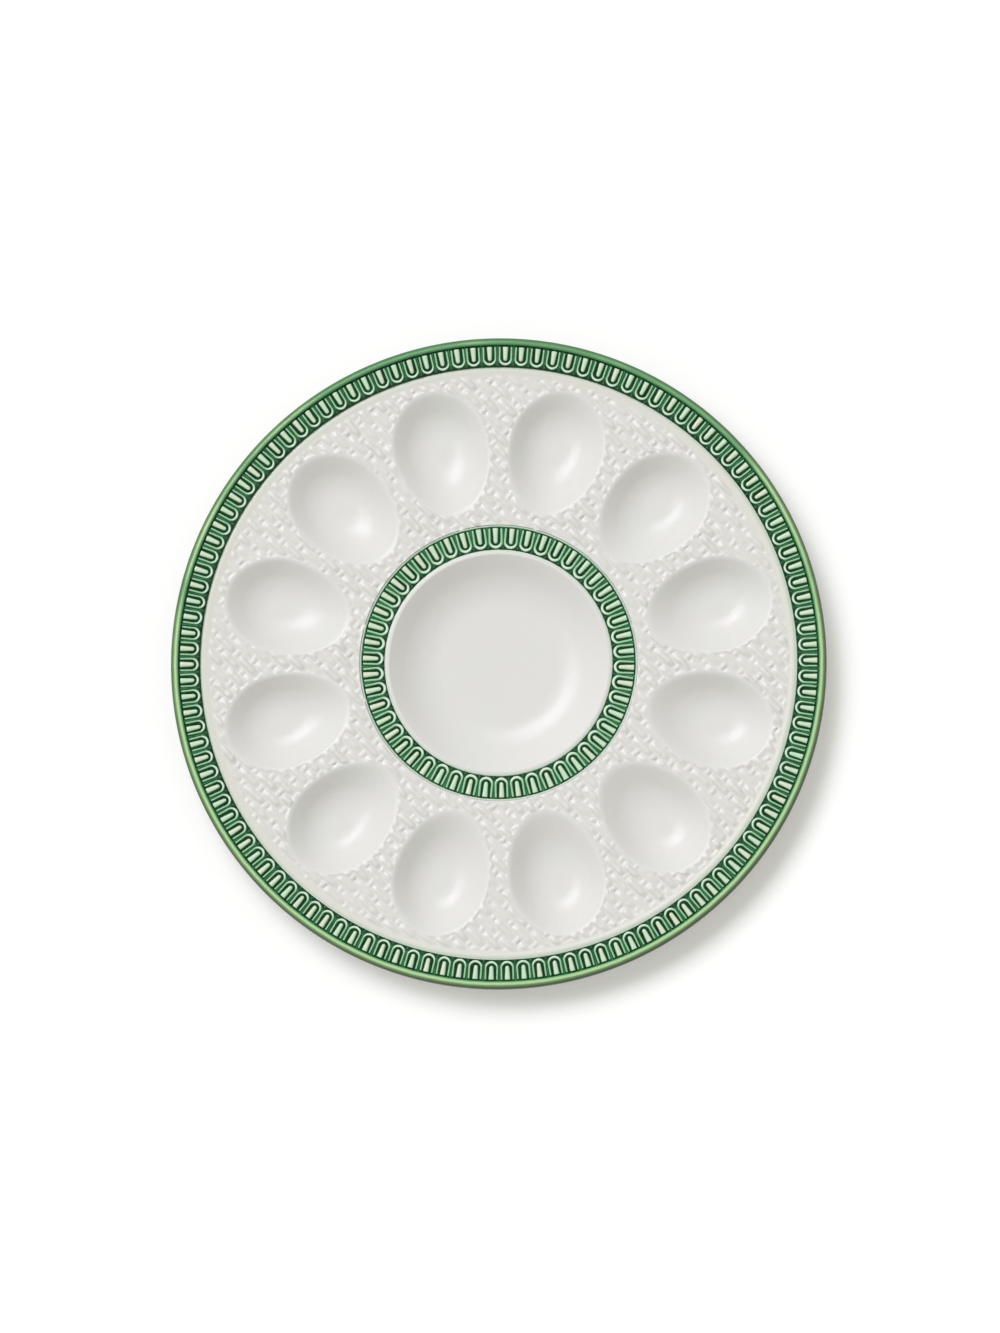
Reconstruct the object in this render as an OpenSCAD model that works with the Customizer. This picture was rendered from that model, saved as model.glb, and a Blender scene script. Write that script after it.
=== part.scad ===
// Round serving platter with egg-shaped wells round a centre bowl.
// Glazed stoneware: a flat woven field, two moulded green borders and a rolled green edge.
// Millimetres. Z is up, the origin is at the middle of the foot ring's underside.

/* [Platter] */
// Outside diameter over the rolled edge
platter_d = 320; // [300:1:345]
// Height of the flat field above the table
field_z = 17; // [16.4:0.1:24]
// Thickness of the plate between the wells
plate_t = 6; // [5:0.5:8]
// Rise from the field to the edge of the outer border
rim_rise = 1.6; // [0.8:0.1:2.4]
// Radial width of the hollow curve that makes this rise
cove_w = 3.8; // [2.8:0.1:4]

/* [Egg wells] */
// Bare margin between a well and the outer border
well_margin = 8.7; // [8.3:0.1:11]
// Bare margin between a well and the edge of the inner border
well_inner_margin = 7.1; // [6.6:0.1:10]
// Half the least room between the broad parts of two wells
well_side_room = 6; // [5.6:0.1:9]
// Width of a well as a share of its length
well_w_share = 0.7235; // [0.68:0.0005:0.73]
// Length from the broad part to the outer end, as a share of a well's length
well_outer_share = 0.4244; // [0.41:0.0002:0.44]
// Depth of a well below the field as a share of its width
well_depth_share = 0.2267; // [0.2:0.0001:0.25]
// Thickness of a well's wall
well_wall = 3.5; // [2.5:0.1:4]
// Width of the softened lip round a well
well_lip_w = 1.2; // [0.6:0.1:1.8]
// Depth of the softened lip
well_lip_drop = 1.4; // [0.8:0.1:2]

/* [Centre bowl] */
// Diameter of the bowl at its lip as a share of the platter's diameter
bowl_share = 0.33875; // [0.28125:0.00125:0.36375]
// Depth of the bowl below the field
bowl_depth = 12.1; // [10:0.1:12.4]
// Slope of the bowl's wall, in degrees
bowl_slope = 36; // [34:0.5:46]
// Radius of the curve from the bowl's floor to its wall
bowl_cove = 23.3; // [18:0.1:26]
// Thickness of the bowl's wall and floor
bowl_wall = 3.9; // [3:0.1:4.2]
// Width of the plain lip between the bowl and the inner border
bowl_lip_w = 1.4; // [0.8:0.1:1.8]
// Width of the plain edge between the inner border and the field
inner_edge_w = 0.8; // [0.5:0.1:1.4]

/* [Foot ring] */
// Diameter at the middle of the foot ring
foot_d = 196; // [170:1:220]
// Thickness of the foot ring
foot_t = 6; // [5:0.5:9]
// Rounding of its two lower edges
foot_round = 1.5; // [0.5:0.1:2]

/* [Rolled edge] */
// Width of the rolled edge
bead_w = 3.9; // [3:0.1:4.5]
// Height of the rolled edge from its top to its underside
bead_h = 7; // [6.4:0.1:8]
// Height of the rolled edge above the border's edge
bead_proud = 1.4; // [0.8:0.1:2]

/* [Borders] */
// Radial width of the outer border
outer_border_w = 10.5; // [10:0.1:11.5]
// Number of tongues in the outer border
outer_n = 122; // [80:1:124]
// Clockwise turn of the outer border's first tongue from +Y, in degrees
outer_turn = 1.3; // [0:0.1:2.9]
// Radial width of the inner border
inner_border_w = 11.2; // [10:0.1:12]
// Number of tongues in the inner border
inner_n = 50; // [30:1:52]
// Clockwise turn of the inner border's first tongue from +Y, in degrees
inner_turn = 5.8; // [0:0.1:7.2]
// Thickness of a border's ground
ground_t = 0.8; // [0.5:0.1:1.2]
// Depth of the ground below the plain edges beside it
ground_sink = 0.4; // [0.2:0.1:0.8]

/* [Tongue and arch moulding] */
// Width of a tongue at its open end
tongue_w = 2.8; // [2.2:0.1:3.1]
// Width of a tongue at its rounded tip
tongue_tip_w = 1.9; // [1.2:0.1:2.2]
// Groove between a tongue and the arch round it
arch_gap = 1.15; // [0.8:0.05:1.25]
// Groove between a tongue's tip and the crown of its arch
tip_gap = 1.4; // [1:0.1:1.8]
// Width of an arch's ridge
arch_w = 0.6; // [0.4:0.1:0.8]
// Height of an arch's ridge
arch_h = 0.8; // [0.5:0.1:1]
// Distance from the border's inner side to an arch's crown
arch_inset = 1; // [0.6:0.1:1.4]
// Gap between the open ends and the border's outer side
open_gap = 0.5; // [0.2:0.1:0.8]
// Width of a dart between two arches
dart_w = 2.2; // [1.4:0.1:2.4]
// Length of a dart
dart_len = 2.4; // [1.6:0.1:2.8]
// Height of a dart
dart_h = 0.5; // [0.3:0.1:0.8]
// Distance from the border's inner side to a dart
dart_inset = 0.3; // [0.2:0.1:0.5]

/* [Hidden] */
$fn = 96;

// One well for each of the named nodes, spaced evenly
well_count = 12;
well_pitch = 360 / well_count;
well_turn = well_pitch / 2;
// How far cutting shapes run past what they cut
overrun = 1;
// Arcs that run on into each other differ by this much, so that they cross and don't just touch
blend = 0.02;

glaze_white = [0.87, 0.86, 0.84];
glaze_dark = [0.05, 0.33, 0.18];
glaze_mid = [0.12, 0.45, 0.30];
glaze_pale = [0.76, 0.90, 0.78];
glaze_edge = [0.60, 0.74, 0.47];

// Radii, from the rolled edge inwards
platter_r = platter_d / 2;
outer_border_out = platter_r - bead_w;
outer_border_in = outer_border_out - outer_border_w;
bowl_r = platter_r * bowl_share;
inner_border_in = bowl_r + bowl_lip_w;
inner_border_out = inner_border_in + inner_border_w;
flange_r = inner_border_out + inner_edge_w;

// A well is as long as the room between the borders, or as its neighbours let it be if that is less
well_outer_r = outer_border_in - well_margin;
well_room_along = well_outer_r - flange_r - well_inner_margin;
well_room_across = (well_outer_r * sin(well_pitch / 2) - well_side_room)
    / (well_w_share / 2 + well_outer_share * sin(well_pitch / 2));
well_len = min(well_room_along, well_room_across);
well_outer_len = well_len * well_outer_share;
well_inner_len = well_len - well_outer_len;
well_half = well_len * well_w_share / 2;
well_depth = 2 * well_half * well_depth_share;
well_mid_r = well_outer_r - well_outer_len;

// The hollow curve up to the outer border ends in a narrow level land
rim_land_w = 0.3;
cove_start_r = outer_border_in - rim_land_w - cove_w;
cove_r = (cove_w * cove_w + rim_rise * rim_rise) / (2 * rim_rise);

// Heights
plate_under_z = field_z - plate_t;
rim_z = field_z + rim_rise;
outer_ground_z = rim_z - ground_sink;
outer_seat_z = outer_ground_z - ground_t;
inner_ground_z = field_z - ground_sink;
inner_seat_z = inner_ground_z - ground_t;
bead_top_z = rim_z + bead_proud;
bead_under_z = bead_top_z - bead_h;
bead_round = bead_w / 2;
flange_under_z = bead_under_z + bead_round;

// A well is an egg turned about a level axis that lies above the field
egg_r = (well_half * well_half + well_depth * well_depth) / (2 * well_depth);
egg_axis_z = field_z + egg_r - well_depth;
egg_outer_len = well_outer_len * egg_r / well_half;
egg_inner_len = well_inner_len * egg_r / well_half;
// Radius of the egg's two ends, as shares of its greatest radius
broad_end_share = 0.88;
narrow_end_share = 0.62;
broad_end_r = egg_r * broad_end_share;
narrow_end_r = egg_r * narrow_end_share;

// The softened lip is the same egg made larger and set higher
lip_half = well_half + well_lip_w;
lip_widening = (lip_half * lip_half - well_half * well_half) / (2 * well_lip_drop);
lip_axis_drop = egg_r - well_depth + lip_widening;
lip_egg_r = sqrt(lip_half * lip_half + lip_axis_drop * lip_axis_drop);
lip_axis_z = field_z + lip_axis_drop;

// The bowl's section is a flat floor, a curve, and a straight slope up to the lip
bowl_floor_z = field_z - bowl_depth;
bowl_curve_h = bowl_cove * (1 - cos(bowl_slope));
bowl_floor_r = bowl_r - (bowl_depth - bowl_curve_h) / tan(bowl_slope) - bowl_cove * sin(bowl_slope);

// Middle line of the arch round a tongue, and how far the tongue stands back from the border's side
arch_r = tongue_w / 2 + arch_gap + arch_w / 2;
tongue_inset = arch_inset + arch_w + tip_gap;

// Radius of the flank that meets an end of the given radius and is as wide as the egg
function flank_r(len, end_r) = (egg_r * egg_r + len * len - 2 * len * end_r) / (2 * (egg_r - end_r));

// One end of the egg's half section, along +Y from a little before the broad part, grown outwards by grow
module egg_end(len, end_r, grow, before) {
    flank = flank_r(len, end_r);
    width = egg_r + grow + overrun;
    // Where the flank gives way to the round end
    join_y = (flank + grow) * (len - end_r) / (flank - end_r);
    intersection() {
        translate([egg_r - flank, 0]) circle(r = flank + grow);
        translate([0, -before]) square([width, join_y + before]);
    }
    intersection() {
        translate([0, len - end_r]) circle(r = end_r + grow + blend);
        square([width, len + grow + overrun]);
    }
}

// The egg, its broad part at the origin and its broad end towards +X
module egg(grow = 0) {
    rotate([0, 90, 0]) rotate_extrude() {
        egg_end(egg_outer_len, broad_end_r, grow + blend, egg_inner_len / 2);
        mirror([0, 1]) egg_end(egg_inner_len, narrow_end_r, grow, 0);
    }
}

module at_well(k) {
    rotate([0, 0, well_turn + k * well_pitch]) translate([well_mid_r, 0, 0]) children();
}

// The outside of every well's wall, to cut its place out of what surrounds it
module well_places() {
    for (k = [0 : well_count - 1]) {
        at_well(k) translate([0, 0, egg_axis_z]) egg(well_wall);
    }
}

module egg_well(k) {
    above = 2 * (egg_r + well_wall);
    span = egg_inner_len + egg_outer_len + 2 * well_wall + 2 * overrun;
    color(glaze_white) at_well(k) difference() {
        translate([0, 0, egg_axis_z]) egg(well_wall);
        translate([0, 0, egg_axis_z]) egg();
        translate([0, 0, lip_axis_z]) scale(lip_egg_r / egg_r) egg();
        translate([-span, -span, field_z]) cube([2 * span, 2 * span, above]);
    }
}

// Half section of the bowl, from its floor to just above the field, grown outwards by grow
module bowl_section(grow) {
    height = bowl_depth + grow + overrun;
    curve_r = bowl_cove + grow;
    // Where the curve gives way to the sloping wall
    wall_r = bowl_floor_r + curve_r * sin(bowl_slope);
    wall_z = curve_r * (1 - cos(bowl_slope));
    translate([0, bowl_floor_z - grow]) {
        intersection() {
            union() {
                translate([bowl_floor_r, curve_r]) circle(r = curve_r + blend);
                square([bowl_floor_r, height]);
            }
            square([bowl_r + grow + overrun, height]);
        }
        polygon([
            [0, wall_z],
            [wall_r, wall_z],
            [wall_r + (height - wall_z) / tan(bowl_slope), height],
            [0, height]
        ]);
    }
}

module centre_bowl() {
    color(glaze_white) rotate_extrude() difference() {
        union() {
            intersection() {
                bowl_section(bowl_wall);
                square([flange_r, field_z]);
            }
            translate([bowl_floor_r, plate_under_z]) square([flange_r - bowl_floor_r, plate_t]);
        }
        bowl_section(0);
        translate([inner_border_in, inner_seat_z])
            square([inner_border_w, ground_t + ground_sink + overrun]);
    }
}

module field_plate() {
    color(glaze_white) difference() {
        rotate_extrude() {
            translate([flange_r, plate_under_z]) square([outer_border_in - flange_r, plate_t]);
            difference() {
                translate([cove_start_r, field_z]) square([outer_border_in - cove_start_r, rim_rise]);
                translate([cove_start_r, field_z + cove_r]) circle(r = cove_r + blend);
            }
        }
        well_places();
    }
}

module rim_flange() {
    color(glaze_white) rotate_extrude() polygon([
        [outer_border_in, plate_under_z],
        [outer_border_out, flange_under_z],
        [outer_border_out, outer_seat_z],
        [outer_border_in, outer_seat_z]
    ]);
}

module foot_ring() {
    inner_r = (foot_d - foot_t) / 2;
    outer_r = inner_r + foot_t;
    color(glaze_white) difference() {
        rotate_extrude() {
            translate([inner_r, foot_round]) square([foot_t, plate_under_z - foot_round]);
            translate([inner_r + foot_round, 0]) square([foot_t - 2 * foot_round, foot_round]);
            translate([inner_r + foot_round, foot_round]) circle(r = foot_round);
            translate([outer_r - foot_round, foot_round]) circle(r = foot_round);
        }
        well_places();
    }
}

module rolled_edge() {
    color(glaze_edge) rotate_extrude() {
        translate([outer_border_out, bead_under_z + bead_round]) square([bead_w, bead_h - bead_w]);
        translate([platter_r - bead_round, bead_under_z + bead_round]) circle(r = bead_round);
        translate([platter_r - bead_round, bead_top_z - bead_round]) circle(r = bead_round);
    }
}

module border_ground(inner_r, width, seat_z) {
    color(glaze_dark) rotate_extrude() translate([inner_r, seat_z]) square([width, ground_t]);
}

// Places its children at even steps, the first one turned clockwise from +Y
module around(n, turn, inner_r, ground_z) {
    for (k = [0 : n - 1]) {
        rotate([0, 0, 90 - turn + k * 360 / n]) translate([inner_r, 0, ground_z]) children();
    }
}

// A half-round tongue lying on the ground, its tip at the origin and its open end towards +X
module tongue(len) {
    tip_r = tongue_tip_w / 2;
    rotate([90, 0, 90]) rotate_extrude(angle = 180) {
        polygon([[0, tip_r], [tip_r, tip_r], [tongue_w / 2, len], [0, len]]);
        intersection() {
            translate([0, tip_r]) circle(r = tip_r);
            square([tip_r, tip_r]);
        }
    }
}

module ridge_section() {
    translate([-arch_w / 2, 0]) square([arch_w, arch_h - arch_w / 2]);
    translate([0, arch_h - arch_w / 2]) circle(d = arch_w);
}

// A narrow ridge bent round a tongue, its crown at the origin and its open end towards +X
module arch(len) {
    crown_r = arch_r + arch_w / 2;
    translate([crown_r, 0, 0]) {
        rotate([0, 0, 90]) rotate_extrude(angle = 180) translate([arch_r, 0]) ridge_section();
        for (side = [-1, 1]) {
            translate([0, side * arch_r, 0]) rotate([90, 0, 90])
                linear_extrude(len - crown_r) ridge_section();
        }
    }
}

module dart() {
    linear_extrude(dart_h) polygon([[0, -dart_w / 2], [0, dart_w / 2], [dart_len, 0]]);
}

module border_tongues(inner_r, width, n, turn, ground_z) {
    color(glaze_pale) around(n, turn, inner_r + tongue_inset, ground_z)
        tongue(width - tongue_inset - open_gap);
}

module border_arches(inner_r, width, n, turn, ground_z) {
    color(glaze_pale) around(n, turn, inner_r + arch_inset, ground_z)
        arch(width - arch_inset - open_gap);
}

// Darts stand half a step on from the tongues
module border_darts(inner_r, n, turn, ground_z) {
    color(glaze_mid) around(n, turn + 180 / n, inner_r + dart_inset, ground_z) dart();
}

module outer_ground() { border_ground(outer_border_in, outer_border_w, outer_seat_z); }
module outer_tongues() {
    border_tongues(outer_border_in, outer_border_w, outer_n, outer_turn, outer_ground_z);
}
module outer_arches() {
    border_arches(outer_border_in, outer_border_w, outer_n, outer_turn, outer_ground_z);
}
module outer_darts() { border_darts(outer_border_in, outer_n, outer_turn, outer_ground_z); }
module inner_ground() { border_ground(inner_border_in, inner_border_w, inner_seat_z); }
module inner_tongues() {
    border_tongues(inner_border_in, inner_border_w, inner_n, inner_turn, inner_ground_z);
}
module inner_arches() {
    border_arches(inner_border_in, inner_border_w, inner_n, inner_turn, inner_ground_z);
}
module inner_darts() { border_darts(inner_border_in, inner_n, inner_turn, inner_ground_z); }

centre_bowl();
field_plate();
rim_flange();
foot_ring();
rolled_edge();
outer_ground();
outer_tongues();
outer_arches();
outer_darts();
inner_ground();
inner_tongues();
inner_arches();
inner_darts();
egg_well(0);  // egg_well_01
egg_well(1);  // egg_well_02
egg_well(2);  // egg_well_03
egg_well(3);  // egg_well_04
egg_well(4);  // egg_well_05
egg_well(5);  // egg_well_06
egg_well(6);  // egg_well_07
egg_well(7);  // egg_well_08
egg_well(8);  // egg_well_09
egg_well(9);  // egg_well_10
egg_well(10);  // egg_well_11
egg_well(11);  // egg_well_12
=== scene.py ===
from math import cos, pi, radians, sin, sqrt, tan

import bpy
import numpy as np
from mathutils import Matrix, Vector
from mathutils.geometry import delaunay_2d_cdt


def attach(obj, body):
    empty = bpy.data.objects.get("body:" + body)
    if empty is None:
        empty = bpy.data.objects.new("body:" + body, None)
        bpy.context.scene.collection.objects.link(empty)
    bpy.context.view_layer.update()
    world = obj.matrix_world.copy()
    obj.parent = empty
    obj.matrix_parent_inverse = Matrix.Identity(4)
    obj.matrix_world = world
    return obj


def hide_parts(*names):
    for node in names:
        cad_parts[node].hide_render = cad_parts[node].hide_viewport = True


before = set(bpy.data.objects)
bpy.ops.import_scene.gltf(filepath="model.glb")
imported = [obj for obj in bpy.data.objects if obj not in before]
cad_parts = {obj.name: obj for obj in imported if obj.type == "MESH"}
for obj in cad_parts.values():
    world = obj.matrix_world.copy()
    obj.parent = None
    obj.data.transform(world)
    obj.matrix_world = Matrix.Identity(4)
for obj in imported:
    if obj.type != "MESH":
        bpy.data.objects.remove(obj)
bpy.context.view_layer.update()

# Every shape below is worked out in millimetres and scaled once, when its mesh is made
mm = 0.001

platter = {
    "radius": 160.0,
    "fieldHeight": 17.0,
    "plateUnder": 11.0,
    "outerBorder": (145.6, 156.1),  # inner and outer radius of the outer green border
    "innerBorder": (55.6, 66.8),
    "flangeRadius": 67.6,  # where the bowl's piece gives way to the field
    "outerGround": 18.2,
    "innerGround": 16.6,
    "groundThick": 0.8,
}


# Plain helpers for numbers

def smoothMin(a, b, reach):
    overlap = np.clip(reach - np.abs(a - b), 0.0, None) / reach
    return np.minimum(a, b) - overlap * overlap * reach / 4.0


def smoothStep(low, high, value):
    t = np.clip((value - low) / (high - low), 0.0, 1.0)
    return t * t * (3.0 - 2.0 * t)


def anglesRound(count):
    return np.arange(count) * 2.0 * pi / count


noiseCells = 128  # the noise repeats after so many lumps


def softNoise(x, y, size, seed):
    # value noise from -1 to 1 with lumps about `size` millimetres across
    table = np.random.default_rng(seed).uniform(-1.0, 1.0, (noiseCells, noiseCells))
    u, v = x / size + noiseCells / 2.0, y / size + noiseCells / 2.0
    i, j = np.floor(u).astype(int), np.floor(v).astype(int)
    fu, fv = u - i, v - j
    fu = fu ** 3 * (fu * (fu * 6.0 - 15.0) + 10.0)
    fv = fv ** 3 * (fv * (fv * 6.0 - 15.0) + 10.0)
    i0, i1, j0, j1 = i % noiseCells, (i + 1) % noiseCells, j % noiseCells, (j + 1) % noiseCells
    low = table[i0, j0] * (1.0 - fu) + table[i1, j0] * fu
    high = table[i0, j1] * (1.0 - fu) + table[i1, j1] * fu
    return low * (1.0 - fv) + high * fv


# Meshes

def addObject(name, data):
    made = bpy.data.objects.new(name, data)
    bpy.context.scene.collection.objects.link(made)
    return made


def makePiece(name, verts, faces, normals=None, values=None, sharp=None):
    # verts in millimetres; one normal for each face corner; values are stored at the points
    mesh = bpy.data.meshes.new(name)
    sizes, corners = np.array([len(f) for f in faces]), np.concatenate(faces)
    mesh.vertices.add(len(verts))
    mesh.vertices.foreach_set("co", (np.asarray(verts) * mm).astype(np.float32).ravel())
    mesh.loops.add(len(corners))
    mesh.loops.foreach_set("vertex_index", corners.astype(np.int32))
    mesh.polygons.add(len(sizes))
    mesh.polygons.foreach_set("loop_start", (np.cumsum(sizes) - sizes).astype(np.int32))
    mesh.polygons.foreach_set("loop_total", sizes.astype(np.int32))
    mesh.update(calc_edges=True)
    mesh.validate()
    mesh.shade_smooth()
    if normals is not None:
        mesh.normals_split_custom_set(np.asarray(normals, float))
    elif sharp is not None:
        mesh.set_sharp_from_angle(angle=radians(sharp))
    for key, numbers in (values or {}).items():
        stored = mesh.attributes.new(key, "FLOAT", "POINT")
        stored.data.foreach_set("value", np.asarray(numbers, np.float32))
    return addObject(name, mesh)


def settle(piece, node):
    # every piece rides on the one body and stands for its CAD node
    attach(piece, "root")
    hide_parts(node)
    return piece


def arc(centreR, centreZ, wide, tall, degrees):
    return [(centreR + wide * cos(a), centreZ + tall * sin(a)) for a in np.radians(degrees)]


def lathe(name, profile, sizes, values=None, wobble=None):
    # profile runs anticlockwise with the radius to the right, and is closed or starts and ends on the axis
    steps, solid = sizes["steps"], profile[0][0] == 0.0
    ring = profile[1:-1] if solid else profile
    rows, turn, (radius, height) = len(ring), anglesRound(steps)[:, None], np.array(ring, float).T
    verts = np.stack([np.cos(turn) * radius, np.sin(turn) * radius, np.tile(height, (steps, 1))], -1)
    if wobble is not None:
        verts = wobble(verts)
    column, row = np.meshgrid(np.arange(steps), np.arange(rows - solid), indexing="ij")
    nextColumn, nextRow = (column + 1) % steps, (row + 1) % rows
    faces = np.stack([column * rows + row, nextColumn * rows + row,
                      nextColumn * rows + nextRow, column * rows + nextRow], -1).reshape(-1, 4)
    verts = verts.reshape(-1, 3)
    if solid:
        first, last, faces = len(verts), len(verts) + 1, faces.tolist()
        verts = np.vstack([verts, [(0.0, 0.0, profile[end][1]) for end in (0, -1)]])
        for c in range(steps):
            n = (c + 1) % steps
            faces += [(first, n * rows, c * rows), (last, (c + 1) * rows - 1, (n + 1) * rows - 1)]
    stored = {key: np.tile(np.asarray(v, float), steps) for key, v in (values or {}).items()}
    return makePiece(name, verts, faces, values=stored, sharp=sizes["sharp"])


# The egg wells

wells = {
    "count": 12,
    "halfWidth": 22.5,
    "depth": 10.2,  # of the plain egg that gives a well its outline
    "floorFlat": 4.0,  # half width of a well's flat floor
    "floorCurve": 20.0,  # radius of the curve from the floor to the wall
    "wallAngle": 39.0,
    "outerLength": 26.4,
    "innerLength": 35.8,
    "margin": 8.7,
    "wall": 3.5,
    "broadEnd": 0.88,  # radius of that end as a share of the egg's
    "narrowEnd": 0.62,
    "lipSoftness": 1.1,  # how far the smooth lip reaches up and down
    "carriedUp": 12.0,  # how far above the lip the wall is carried on, for the smooth lip
    "around": 216,  # points round a well
    "underBlend": 3.5,  # roundness where a cup leaves the plate's underside
}
eggRadius = (wells["halfWidth"] ** 2 + wells["depth"] ** 2) / (2.0 * wells["depth"])
eggAxis = platter["fieldHeight"] + eggRadius - wells["depth"]
eggRise = eggAxis - platter["fieldHeight"]
underRise = eggAxis - platter["plateUnder"]
eggOuter, eggInner = (wells[key] * eggRadius / wells["halfWidth"] for key in ("outerLength", "innerLength"))
wellMiddle = platter["outerBorder"][0] - wells["margin"] - wells["outerLength"]
wellPitch = 2.0 * pi / wells["count"]
nearEdge = 0.01  # least square of a half width that still counts as inside an egg


def wellSection(deep):
    # turns a depth in the plain egg into that in a cup with a flat floor, a curve and a straight wall
    fromAxis = eggRise + np.clip(deep, -wells["carriedUp"], wells["depth"])
    off = np.sqrt(np.clip(eggRadius ** 2 - fromAxis ** 2, 0.0, None))
    half, curve, angle = wells["halfWidth"], wells["floorCurve"], radians(wells["wallAngle"])
    join = wells["floorFlat"] + curve * sin(angle)
    across = np.clip(off - wells["floorFlat"], 0.0, curve * sin(angle))
    floor = (half - join) * tan(angle) + np.sqrt(curve ** 2 - across ** 2) - curve * cos(angle)
    return np.where(off > join, (half - off) * tan(angle), floor)


def eggEnd(x):
    # length, end radius and flank radius of the egg's end at each place
    length = np.where(x >= 0.0, eggOuter, eggInner)
    end = eggRadius * np.where(x >= 0.0, wells["broadEnd"], wells["narrowEnd"])
    flank = (eggRadius ** 2 + length ** 2 - 2.0 * length * end) / (2.0 * (eggRadius - end))
    return length, end, flank


def eggSection(x, grow=0.0):
    # radius of the egg about its axis, or 0 past its ends
    length, end, flank = eggEnd(x)
    far = np.abs(x)
    join = (flank + grow) * (length - end) / (flank - end)
    onFlank = (eggRadius - flank) + np.sqrt(np.clip((flank + grow) ** 2 - far ** 2, 0.0, None))
    onEnd = np.sqrt(np.clip((end + grow) ** 2 - (far - (length - end)) ** 2, 0.0, None))
    return np.where(far <= join, onFlank, onEnd)


def eggDistance(x, y, rise=eggRise):
    # distance from the egg's surface of a point at that height below its axis, minus inside
    length, end, flank = eggEnd(x)
    far, off = np.abs(x), np.sqrt(y ** 2 + rise ** 2)
    toFlank = np.hypot(far, off + flank - eggRadius) - flank
    toEnd = np.hypot(far - (length - end), off) - end
    beyond = far * (flank - eggRadius) > (length - end) * (off + flank - eggRadius)
    return np.where(beyond, toEnd, toFlank)


def toWell(x, y):
    # coordinates in the nearest well, its broad end along the first one
    turn = (np.floor(np.arctan2(y, x) / wellPitch) + 0.5) * wellPitch
    return x * np.cos(turn) + y * np.sin(turn) - wellMiddle, -x * np.sin(turn) + y * np.cos(turn)


def fromWell(k, points):
    turn, out, y = (k + 0.5) * wellPitch, points[:, 0] + wellMiddle, points[:, 1]
    return np.stack([out * cos(turn) - y * sin(turn), out * sin(turn) + y * cos(turn)], -1)


def wellOutline(grow, rise):
    # outline of the grown egg at a height below its axis, found by halving along each ray
    angles, farthest, halvings = anglesRound(wells["around"]), 60.0, 40
    low, high = np.zeros_like(angles), np.full_like(angles, farthest)
    for _ in range(halvings):
        middle = (low + high) / 2.0
        x, y = middle * np.cos(angles), middle * np.sin(angles)
        inside = eggSection(x, grow) ** 2 - y ** 2 > rise ** 2
        low, high = np.where(inside, middle, low), np.where(inside, high, middle)
    return np.stack([low * np.cos(angles), low * np.sin(angles)], -1)


# The woven field

weave = {
    "fatStep": 4.255,
    "fatStart": 2.845,
    "fatWidth": 4.1,
    "fatHeight": 0.96,
    "fatFall": 1.1,  # how steeply a strand falls to its sides
    "fatEnds": (0.36, 0.94),  # share of a pad's half length over which it dives under the next strand
    "thinStep": 7.841,
    "thinStart": 0.6,
    "thinWidth": 3.0,
    "thinHeight": 0.76,
    "thinFall": 0.9,
    "thinEnds": (0.0, 0.68),
    "shear": 0.052,
    "blend": 0.32,  # roundness where one strand meets the next
    "unevenness": 0.42,  # share by which single pads differ in height
    "padSeed": 31,
    "fade": (0.5, 1.9),  # distance from a lip over which the relief begins
    "inner": (68.0, 69.6),
    "outer": (139.4, 142.0),
    "base": -0.42,
}
strays = {  # amount, size of its lumps in millimetres, and seed
    "fatDrift": (0.52, 11.0, 11),
    "thinDrift": (0.52, 9.0, 12),
    "fatEnds": (0.13, 6.0, 15),
    "thinEnds": (0.2, 5.0, 16),
    "swell": (0.2, 6.0, 13),
    "grain": (0.16, 2.6, 14),
}
padHeights = np.random.default_rng(weave["padSeed"]).uniform(-1.0, 1.0, (2, noiseCells, noiseCells))


def stray(x, y, kind):
    amount, size, seed = strays[kind]
    return amount * softNoise(x, y, size, seed)


def strand(kind, number, layer, along):
    # height of the strands of one direction; number counts them and along runs in half pads
    near, pad = np.round(number), np.round(along / 2.0)
    over = 1.0 - smoothStep(*weave[kind + "Ends"], np.abs(along - 2.0 * pad))
    off = 2.0 * (number - near) * weave[kind + "Step"] / weave[kind + "Width"]
    across = np.clip(1.0 - off ** 2, 0.0, None)
    cells = near.astype(int) % noiseCells, pad.astype(int) % noiseCells
    padHeight = 1.0 + weave["unevenness"] * padHeights[layer][cells]
    return weave[kind + "Height"] * padHeight * over * across ** weave[kind + "Fall"]


def weaveRelief(x, y):
    s = (x + y) / sqrt(2.0) + stray(x, y, "fatDrift")
    t = (x - y) / sqrt(2.0) + stray(x, y, "thinDrift")
    j = (t - weave["thinStart"]) / weave["thinStep"]
    i = (s - weave["shear"] * j - weave["fatStart"]) / weave["fatStep"]
    fat = strand("fat", i, 0, j + np.round(i) + stray(x, y, "fatEnds"))
    thin = strand("thin", j, 1, i + np.round(j) + 1.0 + stray(x, y, "thinEnds"))
    amount = 1.0 + stray(x, y, "swell") + stray(x, y, "grain")
    # the higher strand, rounded where they meet
    return weave["base"] - amount * smoothMin(-fat, -thin, weave["blend"])


ridge = {"start": 141.6, "crest": 143.9, "rise": 0.27, "drop": 0.2}  # beside the outer border
lipCrest = {"height": 0.16, "place": 0.2, "width": 1.2}  # how far a well's lip stands up, and where


def fieldHeight(x, y):
    radius, end = np.hypot(x, y), platter["outerBorder"][0]
    rise = ridge["rise"] * smoothStep(ridge["start"], ridge["crest"], radius)
    return platter["fieldHeight"] + rise - ridge["drop"] * smoothStep(ridge["crest"], end, radius)


def weaveCover(x, y):
    # 1 where the field is woven, 0 in the wells and beside the borders
    radius = np.hypot(x, y)
    cover = smoothStep(*weave["fade"], eggDistance(*toWell(x, y)))
    return cover * smoothStep(*weave["inner"], radius) * (1.0 - smoothStep(*weave["outer"], radius))


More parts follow.
